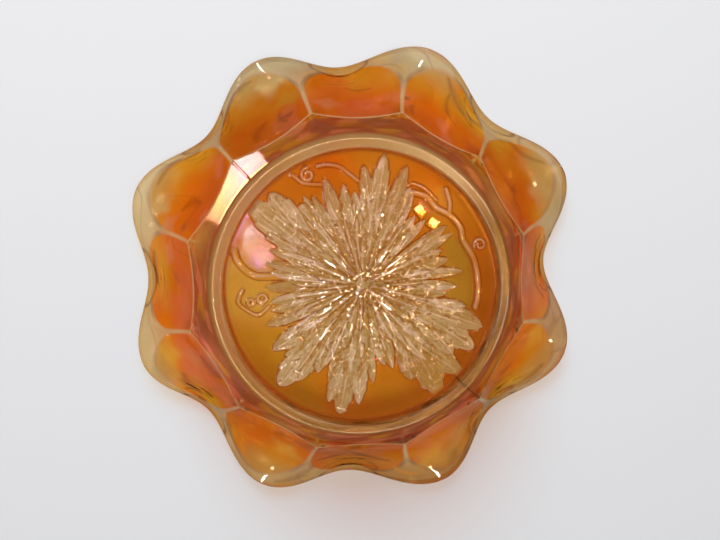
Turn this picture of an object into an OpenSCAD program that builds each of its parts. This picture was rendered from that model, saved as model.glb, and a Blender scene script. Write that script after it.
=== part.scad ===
// Pressed-glass bowl: ruffled rim, fluted wall, foot ring, and a flower moulded under the base.
// Millimetres, +Z up, origin at the centre of the circle that the foot ring rests on.
// The flower's places are as seen from below, with +X to the right and +Y downwards.

/* [Rim] */
// Diameter across the outermost points of the ruffles
rim_d = 210; // [180:1:260]
// Height of the rim's highest points above the table
rim_h = 60; // [48:0.5:84]
// Number of ruffles around the rim
ruffles = 8; // [6:1:12]
// How far the valleys between the ruffles stand in from them
ruffle_in = 13; // [0:0.5:18]
// How far each ruffle droops below the valleys beside it
ruffle_drop = 7; // [0:0.5:12]
// Thickness of the rounded lip
lip_t = 4.2; // [3:0.1:6]
// Slope of the wall where it meets the lip, from level
rim_slope = 46; // [35:1:60]

/* [Wall] */
// Radius of the heel's corners, where the ridges between the flutes start
heel_r = 72.8; // [68:0.1:84]
// Height of the heel's corners
heel_h = 16.5; // [12:0.1:22]
// Slope of the wall at the heel, from level
heel_slope = 66; // [58:1:75]
// Thickness of the wall at the heel, over the ridges
wall_t = 6.4; // [5:0.1:8]
// Number of flutes around the wall
flutes = 12; // [8:1:16]
// Depth of a flute below the ridges beside it
flute_depth = 2.6; // [1:0.1:3.2]
// How far the scalloped lower end of a flute bites in from the heel's corners
scallop_in = 4.5; // [1:0.1:6]

/* [Foot] */
// Outer diameter of the foot ring's resting face
foot_d = 120; // [96:1:122]
// Height of the foot ring
foot_h = 5.5; // [4:0.1:8]
// Width of the resting face
foot_face_w = 3.5; // [2.5:0.1:6]
// How far the ring's outer side leans out towards its top
foot_lean = 2.3; // [0.5:0.1:3]
// Bevel on the edges of the resting face
foot_bevel = 0.5; // [0.2:0.1:0.8]

/* [Base] */
// Thickness of the floor slab
base_t = 6; // [4:0.1:9]
// Radius of the flat part of the floor
floor_r = 52; // [36:0.5:53]

/* [Flower] */
// Least gap between the flower's centre and the table
relief_gap = 1.2; // [0.6:0.1:2]
// Number of petals in the outer tier
outer_petal_n = 26; // [18:1:32]
// Number of petals in the middle tier
middle_petal_n = 22; // [14:1:28]
// Number of petals in the inner tier
inner_petal_n = 16; // [10:1:22]
// Height of the petals' and leaves' edges above the ground
edge_h = 0.35; // [0.2:0.05:0.6]
// Height of a leaf along its midrib
leaf_h = 1.3; // [0.8:0.1:2]
// Height of a stem or tendril
stem_h = 1.1; // [0.6:0.1:1.6]
// Half of the left stem's width
stem_w = 1.6; // [0.8:0.1:2]
// Half of the right vine's width
vine_w = 0.9; // [0.5:0.05:1.2]
// Half of a tendril's width
tendril_w = 0.65; // [0.4:0.05:0.8]

/* [Mould seams] */
// Height of a seam above the heel
seam_h = 0.35; // [0.2:0.05:0.6]
// Width of a seam
seam_w = 0.6; // [0.4:0.1:1]

/* [Hidden] */

marigold = [0.80, 0.42, 0.06];
amber = [0.78, 0.56, 0.24];
pale_amber = [0.84, 0.72, 0.48];
champagne = [0.80, 0.66, 0.46];

foot_r = foot_d / 2;
foot_top_r = foot_r + foot_lean;
foot_inner_r = foot_r - foot_face_w;
inner_lean = 0.8;
recess_r = foot_inner_r - inner_lean;
floor_h = foot_h + base_t;
heel_rise = (heel_h - foot_h) / (heel_r - foot_top_r);

// Angle of the first ridge, of the first ruffle, and of the ridges that carry the seams
ridge_angle = 15;
ruffle_angle = 22;
flute_pitch = 360 / flutes;
seam_angles = [ridge_angle + flute_pitch, ridge_angle + flute_pitch * (1 + floor(flutes / 2))];

// Columns round the wall, and the wall's share below the lip
columns_per_flute = 8;
columns = flutes * columns_per_flute;
lip_start = 0.92;
outer_rows = 9;
inner_rows = 6;
bend_rows = 5;
bend_start = 0.12;
lip_rows = 5;

// The flutes end in round arches below the lip
arch_top = 0.90;
arch_fall = 0.20;
arch_fade = 0.16;

// Middle of the lip, on the mean of ruffles and valleys
lip_r = rim_d / 2 - lip_t / 2 - ruffle_in / 2;
lip_z = rim_h - lip_t / 2 - ruffle_drop / 2;

function mix(a, b, t) = a + (b - a) * t;
function clamp01(x) = max(0, min(1, x));
function ease(x) = clamp01(x) * clamp01(x) * (3 - 2 * clamp01(x));
function along(slope) = [cos(slope), sin(slope)];
function outward(slope) = [sin(slope), -cos(slope)];

// The wall's outer profile over the ridges: one cubic curve from the heel's corner to the lip
heel_point = [heel_r, heel_h];
lip_point = [lip_r, lip_z] + outward(rim_slope) * lip_t / 2;
handle = norm(lip_point - heel_point) / 3;
heel_handle = heel_point + along(heel_slope) * handle;
lip_handle = lip_point - along(rim_slope) * handle;

function profile(t) =
    pow(1 - t, 3) * heel_point + 3 * t * pow(1 - t, 2) * heel_handle
    + 3 * t * t * (1 - t) * lip_handle + pow(t, 3) * lip_point;
function profile_run(t) =
    pow(1 - t, 2) * (heel_handle - heel_point) + 2 * t * (1 - t) * (lip_handle - heel_handle)
    + t * t * (lip_point - lip_handle);
function profile_slope(t) = atan2(profile_run(t)[1], profile_run(t)[0]);

// Place across a flute: -1 and 1 on its ridges, 0 in its middle
function across(a) =
    let (turns = (a - ridge_angle) / flute_pitch)
    2 * (turns - floor(turns)) - 1;
function hollow(a) = 1 - pow(across(a), 2);
function flute_share(a, t) =
    hollow(a) * (1 - ease((t - arch_top + arch_fall * pow(across(a), 2) + arch_fade) / arch_fade));
// A flute's lower end is cut along the heel, and the cut turns square to the wall a little higher
turn_share = 0.25;
function flute_cut(a, t) =
    let (heel_cut = scallop_in * [1, heel_rise], wall_cut = flute_depth * outward(profile_slope(t)))
    flute_share(a, t) * mix(heel_cut, wall_cut, clamp01(t / turn_share));
function outer_point(a, t) = profile(t) - flute_cut(a, t);

// The inside follows the ridges at the wall's thickness, then bends round to the floor
function thickness(t) = mix(wall_t, lip_t, t);
function inner_point(t) = profile(t) - outward(profile_slope(t)) * thickness(t);
bend_top = inner_point(bend_start);
bend_slope = profile_slope(bend_start);
bend_corner = bend_top - along(bend_slope) * (bend_top[1] - floor_h) / sin(bend_slope);
floor_edge = [floor_r, floor_h];
function bend_point(s) =
    pow(1 - s, 2) * bend_top + 2 * s * (1 - s) * bend_corner + s * s * floor_edge;
function lip_round(s) =
    lip_point - outward(rim_slope) * lip_t / 2
    + (outward(rim_slope) * cos(180 * s) + along(rim_slope) * sin(180 * s)) * lip_t / 2;

// A profile point at an angle, carried out and down by the ruffles as far as its share of the wall
function ruffled(p, a, t) =
    let (swing = cos(ruffles * (a - ruffle_angle)) * t * t / 2)
    let (r = p[0] + swing * ruffle_in)
    [r * cos(a), r * sin(a), p[1] - swing * ruffle_drop];
function column_angle(i) = ridge_angle + 360 * i / columns;

// One section through the wall below the lip, from the heel up the outside and down the inside
function wall_section(a) = concat(
    [ruffled([foot_top_r, foot_h], a, 0)],
    [for (j = [0 : outer_rows]) let (t = lip_start * j / outer_rows) ruffled(outer_point(a, t), a, t)],
    [for (j = [0 : inner_rows])
        let (t = mix(lip_start, bend_start, j / inner_rows)) ruffled(inner_point(t), a, t)],
    [for (j = [1 : bend_rows])
        let (s = j / bend_rows) ruffled(bend_point(s), a, bend_start * (1 - s))],
    [ruffled([floor_r, foot_h], a, 0)]
);

// One section through the lip, which starts on the wall's top edge
function lip_section(a) = concat(
    [ruffled(outer_point(a, lip_start), a, lip_start)],
    [for (j = [0 : lip_rows]) ruffled(lip_round(j / lip_rows), a, 1)],
    [ruffled(inner_point(lip_start), a, lip_start)]
);

// A closed band from sections that follow each other all the way round
module ring_skin(sections) {
    n = len(sections);
    m = len(sections[0]);
    points = [for (section = sections) each section];
    faces = [
        for (i = [0 : n - 1], j = [0 : m - 1])
            let (a = i * m + j, b = i * m + (j + 1) % m)
            let (c = ((i + 1) % n) * m + (j + 1) % m, d = ((i + 1) % n) * m + j)
            each [[a, b, c], [a, c, d]]
    ];
    polyhedron(points, faces, convexity = 8);
}

// A solid from sections that follow a path, closed at both ends
module path_skin(sections) {
    n = len(sections);
    m = len(sections[0]);
    last = (n - 1) * m;
    points = [for (section = sections) each section];
    sides = [
        for (i = [0 : n - 2], j = [0 : m - 1])
            let (a = i * m + j, b = i * m + (j + 1) % m)
            let (c = b + m, d = a + m)
            each [[a, c, b], [a, d, c]]
    ];
    ends = [for (j = [1 : m - 2]) each [[0, j, j + 1], [last, last + j + 1, last + j]]];
    polyhedron(points, concat(sides, ends), convexity = 8);
}

// Everything moulded under the base stands down from the ground between base and foot ring
module under_base(lift = 0) {
    translate([0, 0, foot_h - lift])
        mirror([0, 0, 1])
            children();
}

// The flower's drawing is set out for this recess, and grows with the real one
drawn_recess_r = 56;
drawn = recess_r / drawn_recess_r;

// Tiers of petals: each lies on the flat middle of the one before it
relief_h = foot_h - relief_gap;
tier_shares = [0.30, 0.26, 0.24, 0.20];
outer_tier_h = relief_h * tier_shares[0];
middle_tier_h = relief_h * tier_shares[1];
inner_tier_h = relief_h * tier_shares[2];
centre_h = relief_h * tier_shares[3];
middle_lift = outer_tier_h;
inner_lift = middle_lift + middle_tier_h;
centre_lift = inner_lift + inner_tier_h;

// Flat middle, notches and tips of each tier
outer_tier = [25.5, 29, 36] * drawn;
middle_tier = [16.5, 18.5, 25] * drawn;
inner_tier = [7.5, 10, 16] * drawn;
centre_r = 6.2 * drawn;
ridge_place = 0.45;

function petal_ring(n, tip, notch, z_tip, z_notch) = [
    for (i = [0 : 2 * n - 1])
        let (r = i % 2 == 0 ? tip : notch, a = 180 * i / n)
        [r * cos(a), r * sin(a), i % 2 == 0 ? z_tip : z_notch]
];

// A tier of n ridged petals round a flat middle: rings from the ground outline in to the middle
module petal_tier(n, radii, h) {
    flat_r = radii[0];
    notch_r = radii[1];
    tip_r = radii[2];
    ridge_r = mix(flat_r, tip_r, ridge_place);
    valley_r = mix(flat_r, notch_r, ridge_place);
    rings = [
        petal_ring(n, tip_r, notch_r, 0, 0),
        petal_ring(n, tip_r, notch_r, edge_h, edge_h),
        petal_ring(n, ridge_r, valley_r, h, mix(edge_h, h, ridge_place)),
        petal_ring(n, flat_r, flat_r, h, h)
    ];
    k = 2 * n;
    last = len(rings) - 1;
    points = concat([for (ring = rings) each ring], [[0, 0, 0], [0, 0, h]]);
    ground = len(points) - 2;
    middle = len(points) - 1;
    sides = [
        for (j = [0 : last - 1], i = [0 : k - 1])
            let (a = j * k + i, b = j * k + (i + 1) % k)
            each [[a, a + k, b + k], [a, b + k, b]]
    ];
    caps = [
        for (i = [0 : k - 1])
            let (e = (i + 1) % k)
            each [[ground, i, e], [middle, last * k + e, last * k + i]]
    ];
    polyhedron(points, concat(sides, caps), convexity = 8);
}

// Points on a smooth curve through the given places, and the curve's direction at each point
curve_steps = 5;
function curve_between(a, b, c, d, t) = 0.5 * (
    2 * b + (c - a) * t + (2 * a - 5 * b + 4 * c - d) * t * t + (3 * b - a - 3 * c + d) * t * t * t
);
function smooth_path(p) =
    let (n = len(p))
    concat([
        for (i = [0 : n - 2], s = [0 : curve_steps - 1])
            curve_between(p[max(0, i - 1)], p[i], p[i + 1], p[min(n - 1, i + 2)], s / curve_steps)
    ], [p[n - 1]]);
function heading(p, i) =
    let (d = p[min(len(p) - 1, i + 1)] - p[max(0, i - 1)])
    d / norm(d);
function side_of(p, i) = [-heading(p, i)[1], heading(p, i)[0]];
function lifted(p, z) = [p[0], p[1], z];

// A spiral that winds in to its centre
spiral_steps = 16;
function spiral(centre, from_r, to_r, start, turn) = [
    for (i = [0 : spiral_steps])
        let (t = i / spiral_steps, a = start + turn * t, r = mix(from_r, to_r, t))
        centre + r * [cos(a), sin(a)]
];

// A half-round strand along a path, thinner towards its end, with a shoulder each side of its top
strand_tip = 0.6;
shoulder_w = 0.7;
shoulder_h = 0.75;
module strand(path, half_w, h) {
    n = len(path);
    path_skin([
        for (i = [0 : n - 1])
            let (p = path[i] * drawn, s = side_of(path, i), t = mix(1, strand_tip, i / (n - 1)))
            let (w = half_w * t, top = h * t)
            [
                lifted(p - w * s, 0), lifted(p - shoulder_w * w * s, shoulder_h * top),
                lifted(p, top),
                lifted(p + shoulder_w * w * s, shoulder_h * top), lifted(p + w * s, 0)
            ]
    ]);
}

// A leaf with a raised midrib and saw-tooth edges, along a bent line to its tip
// Its base is just clear of the outer petals, at the given angle
leaf_gap = 0.5;
leaf_tip_w = 0.4;
leaf_base_w = 1.6;
leaf_fullness = 0.8;
tooth_depth = 0.24;
module leaf(base_angle, drawn_tip, half_w, teeth, bend) {
    n = 2 * teeth;
    base = (outer_tier[2] + leaf_gap) * [cos(base_angle), sin(base_angle)];
    run = drawn_tip * drawn - base;
    lean = [-run[1], run[0]] * bend;
    path = [for (i = [0 : n]) let (t = i / n) base + run * t + lean * 4 * t * (1 - t)];
    color(champagne)
        under_base()
            path_skin([
                for (i = [0 : n])
                    let (t = i / n, p = path[i], s = side_of(path, i))
                    let (tooth = i % 2 == 0 ? 1 - tooth_depth : 1)
                    let (belly = pow(sin(180 * pow(t, leaf_fullness)), leaf_fullness))
                    let (swell = half_w * drawn * belly * tooth)
                    let (w = swell + mix(leaf_base_w, leaf_tip_w, t))
                    let (top = mix(leaf_h, 2 * edge_h, t * t))
                    [
                        lifted(p - w * s, 0), lifted(p - w * s, edge_h), lifted(p, top),
                        lifted(p + w * s, edge_h), lifted(p + w * s, 0)
                    ]
            ]);
}

module foot_ring() {
    color(amber)
        rotate_extrude($fn = 128)
            polygon([
                [recess_r, foot_h], [foot_inner_r, foot_bevel], [foot_inner_r + foot_bevel, 0],
                [foot_r - foot_bevel, 0], [foot_r, foot_bevel], [foot_top_r, foot_h]
            ]);
}

// The slab's sides are the same flats as the wall's inner edge
module base_disc() {
    color(marigold)
        translate([0, 0, foot_h])
            linear_extrude(base_t)
                polygon([
                    for (i = [0 : columns - 1]) floor_r * [cos(column_angle(i)), sin(column_angle(i))]
                ]);
}

module fluted_wall() {
    color(marigold)
        ring_skin([for (i = [0 : columns - 1]) wall_section(column_angle(i))]);
}

module ruffled_rim() {
    color(pale_amber)
        ring_skin([for (i = [0 : columns - 1]) lip_section(column_angle(i))]);
}

// Each seam is a fine fin up the foot ring's side and the heel, short of the heel's corner
seam_start_h = 1;
seam_reach = 0.9;
module mould_seams() {
    ring_side = [foot_top_r - foot_r, foot_h - foot_bevel];
    heel_side = [heel_r - foot_top_r, heel_h - foot_h];
    foot_out = [ring_side[1], -ring_side[0]] / norm(ring_side) * seam_h;
    heel_out = [heel_side[1], -heel_side[0]] / norm(heel_side) * seam_h;
    low = [foot_r, foot_bevel] + ring_side * (seam_start_h - foot_bevel) / ring_side[1];
    knee = [foot_top_r, foot_h];
    high = knee + heel_side * seam_reach;
    color(amber)
        for (a = seam_angles)
            rotate([0, 0, a])
                rotate([90, 0, 0])
                    translate([0, 0, -seam_w / 2])
                        linear_extrude(seam_w)
                            polygon([
                                low, knee, high,
                                high + heel_out, knee + (foot_out + heel_out) / 2, low + foot_out
                            ]);
}

module outer_petals() {
    color(champagne)
        under_base()
            petal_tier(outer_petal_n, outer_tier, outer_tier_h);
}

module middle_petals() {
    color(champagne)
        under_base(middle_lift)
            petal_tier(middle_petal_n, middle_tier, middle_tier_h);
}

module inner_petals() {
    color(champagne)
        under_base(inner_lift)
            petal_tier(inner_petal_n, inner_tier, inner_tier_h);
}

// A low dome on the inner petals
dome_steps = 8;
module flower_centre() {
    color(champagne)
        under_base(centre_lift)
            rotate_extrude($fn = 96)
                polygon(concat([[0, 0]], [
                    for (i = [0 : dome_steps])
                        let (a = 90 * i / dome_steps)
                        [centre_r * cos(a), centre_h * sin(a)]
                ]));
}

module upper_left_leaf() {
    leaf(217, [-43, -33], 6.5, 7, 0.06);
}

module upper_leaf() {
    leaf(250, [-16, -42], 3.4, 5, -0.06);
}

module top_leaf() {
    leaf(284, [11, -53], 6, 7, 0.06);
}

module right_leaf() {
    leaf(26, [50, 18], 6, 6, 0.12);
}

module lower_right_leaf() {
    leaf(50, [36, 40], 6.5, 6, -0.08);
}

module bottom_leaf() {
    leaf(102, [-10, 53], 6, 7, -0.05);
}

module lower_left_leaf() {
    leaf(134, [-35, 40], 6.5, 7, 0.06);
}

module left_stem() {
    color(champagne)
        under_base()
            strand(
                smooth_path([[-39.5, -5], [-43, -5.5], [-47, -8], [-50, -12], [-51, -16]]),
                stem_w, stem_h
            );
}

module left_tendril() {
    color(champagne)
        under_base()
            strand(concat(
                smooth_path([[-49, -1], [-51, 3], [-50, 7], [-46, 10]]),
                spiral([-42.5, 6.5], 4.6, 1.4, 120, -430)
            ), tendril_w, stem_h);
}

module top_tendril() {
    color(champagne)
        under_base()
            strand(concat(
                smooth_path([[-1, -43], [-4, -45.5], [-8, -48.5], [-13, -49.5], [-17, -49]]),
                spiral([-21, -45.5], 2.9, 1, -90, -420)
            ), tendril_w, stem_h);
}

module right_vine() {
    color(champagne)
        under_base()
            strand(smooth_path([
                [21, -38], [27, -36], [31, -31.5], [37, -28], [41, -23],
                [42, -18], [46, -11], [48, -3], [48, 5], [47, 10]
            ]), vine_w, stem_h);
}

module right_branch() {
    color(champagne)
        under_base()
            strand(smooth_path([[36.5, -30], [36.5, -34], [35, -39]]), tendril_w, stem_h);
}

module right_curl() {
    color(champagne)
        under_base()
            strand(spiral([49, -16], 2.6, 1, 160, 400), tendril_w, stem_h);
}

foot_ring();
base_disc();
fluted_wall();
ruffled_rim();
mould_seams();
flower_centre();
inner_petals();
middle_petals();
outer_petals();
upper_left_leaf();
upper_leaf();
top_leaf();
right_leaf();
lower_right_leaf();
bottom_leaf();
lower_left_leaf();
left_stem();
left_tendril();
top_tendril();
right_vine();
right_branch();
right_curl();
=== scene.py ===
"""A ruffled bowl of pressed, iridescent marigold glass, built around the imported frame.

The bowl is one pressing, so one closed glass mesh stands for every CAD node. It lies upside down on a pale
table in the main view, as in the photograph. The same scene has a floor under its foot for views from above.
"""

from math import acos, atan2, cos, hypot, pi, radians, sin, sqrt, tan

import bpy
import numpy as np
from mathutils import Matrix, Vector


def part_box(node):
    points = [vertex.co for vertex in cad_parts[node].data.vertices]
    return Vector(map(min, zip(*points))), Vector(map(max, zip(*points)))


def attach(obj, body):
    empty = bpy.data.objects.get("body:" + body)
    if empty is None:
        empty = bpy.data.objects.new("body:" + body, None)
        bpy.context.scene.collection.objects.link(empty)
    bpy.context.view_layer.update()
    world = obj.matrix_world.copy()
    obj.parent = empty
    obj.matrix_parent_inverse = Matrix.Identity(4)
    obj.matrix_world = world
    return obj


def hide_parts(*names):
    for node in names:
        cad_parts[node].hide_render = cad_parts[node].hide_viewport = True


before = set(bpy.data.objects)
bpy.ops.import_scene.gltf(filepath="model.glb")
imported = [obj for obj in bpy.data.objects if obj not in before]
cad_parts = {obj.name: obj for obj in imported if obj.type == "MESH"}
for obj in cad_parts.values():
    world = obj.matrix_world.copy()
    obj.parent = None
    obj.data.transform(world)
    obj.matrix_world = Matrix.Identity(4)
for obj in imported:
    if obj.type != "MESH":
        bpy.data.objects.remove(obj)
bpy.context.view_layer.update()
scene = bpy.context.scene

MM = 0.001
SEED = 11
rng = np.random.default_rng(SEED)

# Sizes that the frame gives, in millimetres
ring_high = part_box("foot_ring")[1]
FOOT_TOP_R = ring_high[0] / MM
FOOT_H = ring_high[2] / MM
FLOOR_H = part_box("base_disc")[1][2] / MM
RIM_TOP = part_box("ruffled_rim")[1][2] / MM

# Sizes that the CAD source sets, in millimetres and degrees
HEEL_R = 72.8
HEEL_H = 16.5
HEEL_SLOPE = radians(66)
RIM_SLOPE = radians(46)
WALL_T = 6.4
LIP_T = 4.2
LIP_R = 96.4
LIP_Z = 54.4
FLOOR_R = 52.0
FLUTES = 12
RIDGE_ANGLE = 15
FLUTE_DEPTH = 2.6
SCALLOP_IN = 4.5
TURN_SHARE = 0.25
ARCH_START = 0.46
ARCH_TOP = 0.92
LAND_LOW = 0.4
LAND_HIGH = 0.9
BEND_START = 0.12
RUFFLE_IN = 13.0
RUFFLE_DROP = 7.0
SEAM_ANGLES = (45, 225)
SEAM_H = 0.35
RELIEF_H = 4.3

# The mesh's own counts, and its sizes in millimetres and in shares
COLUMNS = 960
RELIEF_ROWS = 220
HEEL_ROWS = 24
WALL_ROWS = 110
LIP_ROWS = 14
INNER_ROWS = 70
BEND_ROWS = 26
FLOOR_ROWS = 24
GROUND_R = 54.0
GROUND_FADE = 1.2
RING_TOP_IN = 55.75
RING_FOOT_IN = 56.45
RING_FOOT_OUT = 60.0
RING_END_R = 64.0
RING_STEP = 0.45
HEEL_FROM = 1.8
EDGE_ROUND = 0.035
LOBE_ROUND = 0.3
ARRIS_W = 0.8
ARRIS_OUT = 0.14
ARRIS_DOWN = 0.02
FIRST_T = 0.011
WALL_RUN = 46.0
LENS_AT = 0.98
LENS_HALF = 13.0
LENS_RISE = 6.5
LENS_DEPTH = 1.0
MARK_BOW = 0.16
MARK_SHARE = 0.85
PATCH_WAVES = 12
PATCH_R = 80

# Where the camera and the lamps for small glints stand, in metres
CAMERA_AT = Vector((-0.0376, -0.0559, -0.3968))
CAMERA_AIM = Vector((-0.001, -0.0074, 0.0))
GLINT_ANGLES = (232, 200, 262, 300, 335, 15, 60, 115, 160)
GLINT_OUT = (0.62, 0.7)
GLINT_Z = -0.8
GLINT_WATTS = 0.0085
GLINT_SPREAD = radians(5.8)
glint_places = []
for number, angle in enumerate(GLINT_ANGLES):
    out = GLINT_OUT[number % 2]
    turn = radians(angle)
    glint_places.append(Vector((out * cos(turn), out * sin(turn), GLINT_Z)))


def clamp01(x):
    return np.clip(x, 0.0, 1.0)


def ease(x):
    """Goes smoothly from 0 at 0 to 1 at 1."""
    x = clamp01(x)
    return x * x * (3 - 2 * x)


def rise(x, start, width):
    """Goes smoothly from 0 at start to 1 after a width."""
    return ease((x - start) / width)


def bell(x, half):
    """1 at 0, falling away on both sides over a half width."""
    return np.exp(-(x / half) ** 2)


def mix(a, b, t):
    return a + (b - a) * t


def along(slope):
    return np.array([cos(slope), sin(slope)])


def outward(slope):
    return np.array([sin(slope), -cos(slope)])


# The wall's outside profile, from the heel's corner to the lip
heel_point = np.array([HEEL_R, HEEL_H])
heel_rise = (HEEL_H - FOOT_H) / (HEEL_R - FOOT_TOP_R)
lip_middle = np.array([LIP_R, LIP_Z])
lip_point = lip_middle + outward(RIM_SLOPE) * LIP_T / 2
handle = np.linalg.norm(lip_point - heel_point) / 3
heel_handle = heel_point + along(HEEL_SLOPE) * handle
lip_handle = lip_point - along(RIM_SLOPE) * handle


def profile(t):
    return ((1 - t) ** 3 * heel_point + 3 * t * (1 - t) ** 2 * heel_handle
            + 3 * t * t * (1 - t) * lip_handle + t ** 3 * lip_point)


def profile_slope(t):
    run = ((1 - t) ** 2 * (heel_handle - heel_point) + 2 * t * (1 - t) * (lip_handle - heel_handle)
           + t * t * (lip_point - lip_handle))
    return atan2(run[1], run[0])


# Every row of the mesh has a point at each of these angles
theta = np.arange(COLUMNS) * 2 * pi / COLUMNS
degrees = np.degrees(theta)
flute_pitch = 360 / FLUTES
turns = (degrees - RIDGE_ANGLE) / flute_pitch
across = 2 * (turns - np.floor(turns)) - 1


def flute_reach(t):
    """How far out in its flute a point lies at t, at every column: 0 on the middle line, 1 on the edge."""
    land = mix(LAND_LOW, LAND_HIGH, t) / (profile(t)[0] * pi / FLUTES)
    return np.hypot(across / (1 - land), max(0.0, t - ARCH_START) / (ARCH_TOP - ARCH_START))


def flute_cut(t):
    """How far the flutes are cut into the profile at t: radius and height, at every column."""
    scoop = 1 - flute_reach(t) ** 2
    edge = mix(EDGE_ROUND, LOBE_ROUND, lobe_tip(t))
    share = (scoop + np.sqrt(scoop ** 2 + edge ** 2)) / 2
    heel_cut = SCALLOP_IN * np.array([1, heel_rise])
    wall_cut = FLUTE_DEPTH * outward(profile_slope(t))
    cut = mix(heel_cut, wall_cut, clamp01(t / TURN_SHARE))
    return share * cut[0], share * cut[1]


# The ruffles were formed by hand: each lobe and each dip has its own angle and reach
RUFFLE_PLACES = (
    (22.2, 1.6), (45.8, 1.7), (67.2, 1.9), (91.6, 2.2), (113.3, 0.9), (137.0, -0.4),
    (157.7, -2.7), (179.8, -0.4), (202.2, -2.5), (224.3, -3.0), (246.8, -2.2), (267.2, 0.1),
    (290.3, 0.6), (313.0, 2.1), (335.3, 2.3), (358.4, -1.6),
)
place_angles, place_reach = np.array(RUFFLE_PLACES).T
places = len(RUFFLE_PLACES)
phase_at = np.concatenate([[place_angles[-1] - 360], place_angles, [place_angles[0] + 360]])
phase = np.interp(degrees, phase_at, np.arange(-1, places + 1))
swing = np.cos(pi * phase) / 2
before = np.floor(phase).astype(int)
blend = (1 - np.cos(pi * (phase - before))) / 2
hand_reach = mix(place_reach[before % places], place_reach[(before + 1) % places], blend)
lobe = rise(swing, -0.05, 0.45)


def lobe_tip(t):
    """1 at the tops of the lobes, where the flutes run out softly, and 0 elsewhere, at every column."""
    return lobe * rise(t, 0.58, 0.22)


def ruffled(r, z, t):
    """A row's radii and heights, carried out and down by the ruffles as far as its share of the wall."""
    return r + (swing * RUFFLE_IN + hand_reach) * t * t, z - swing * RUFFLE_DROP * t * t


def rounded(corners, steps):
    """Points along a line through corners of (radius, height, rounding), with each corner rounded."""
    out = [np.array(corners[0][:2], float)]
    for a, b, c in zip(corners, corners[1:], corners[2:]):
        p = np.array(b[:2], float)
        back = np.array(a[:2]) - p
        on = np.array(c[:2]) - p
        back /= np.linalg.norm(back)
        on /= np.linalg.norm(on)
        half = acos(float(back @ on)) / 2
        reach = b[2] / tan(half)
        for s in np.linspace(0, 1, steps):
            q = (1 - s) ** 2 * (p + back * reach) + 2 * s * (1 - s) * p + s * s * (p + on * reach)
            out.append(q)
    out.append(np.array(corners[-1][:2], float))
    return out


# The relief under the base: heights in millimetres over a flat ground, on x and y in millimetres
FLOWER_X = 0.4
FLOWER_Y = -0.8
FACET_DEPTH = 2.0
POLISH_FROM = 0.8
STREAK_HIGHLIGHT = 2.0
FAR = 1e9
radii = np.linspace(GROUND_R / RELIEF_ROWS, GROUND_R, RELIEF_ROWS)
grid_x = radii[:, None] * np.cos(theta)
grid_y = radii[:, None] * np.sin(theta)
flower_x = grid_x - FLOWER_X
flower_y = grid_y - FLOWER_Y
# The tone holds random tone together with painted light and shade and painted highlights
flower, leaves, strands, crest_highlight, tone = np.zeros((5, *grid_x.shape))


def lay(height, where, found, shade):
    """Keeps the higher of two reliefs, with the tone of the one that shows."""
    level = height[where]
    over = found > level
    level[over] = found[over]
    height[where] = level
    colour = tone[where]
    colour[over] = np.broadcast_to(shade, found.shape)[over]
    tone[where] = colour


def petals(count, inner, outer, width, top, tip, channel, turn):
    """Adds a tier of narrow petals round the flower's centre, hollow along the middle or keeled."""
    for i in range(count):
        angle = (i + turn + rng.uniform(-0.25, 0.25)) * 2 * pi / count
        length = outer * (1 + rng.uniform(-0.14, 0.08))
        bend = rng.uniform(-1.5, 1.5) * outer / 36
        half = width * rng.uniform(0.8, 1.15)
        high = top * rng.uniform(0.84, 1.1)
        tilt = rng.uniform(-0.26, 0.26)
        keel = rng.uniform(0.35, 0.7)
        shade = rng.uniform(-1, 0.8)
        lit_side = rng.choice([-1, 1])
        gleam = 3.0 if rng.random() < 0.28 else 0.2
        wave = rng.uniform(0, 2 * pi)
        ahead = flower_x * cos(angle) + flower_y * sin(angle)
        aside = flower_y * cos(angle) - flower_x * sin(angle)
        t = (ahead - inner) / (length - inner)
        inside = (t > 0) & (t < 1)
        t = t[inside]
        side = aside[inside] - bend * t * t
        w = half * (0.45 + 0.85 * t) * (1 - t ** 4) ** 0.8
        place = side / np.maximum(w, 1e-6)
        a = np.abs(place)
        if channel:
            cross = 0.58 + 0.42 * a * a + 0.16 * bell(side, 0.28)
        else:
            cross = 1 - keel * a
        cross = cross + tilt * place + 0.05 * np.sin(t * length * 0.9 + wave)
        shape = mix(high, tip, t ** 0.9) * cross
        edge = ease((1 - a) * w / 0.45)
        # Painted light: one side of each petal is painted lighter and the other darker, and some petals get a
        # painted highlight along the middle
        paint = shade + 0.75 * lit_side * np.sign(place) + gleam * bell(side, 0.24)
        lay(flower, inside, np.where(a < 1, shape * edge, 0), paint)


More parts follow.
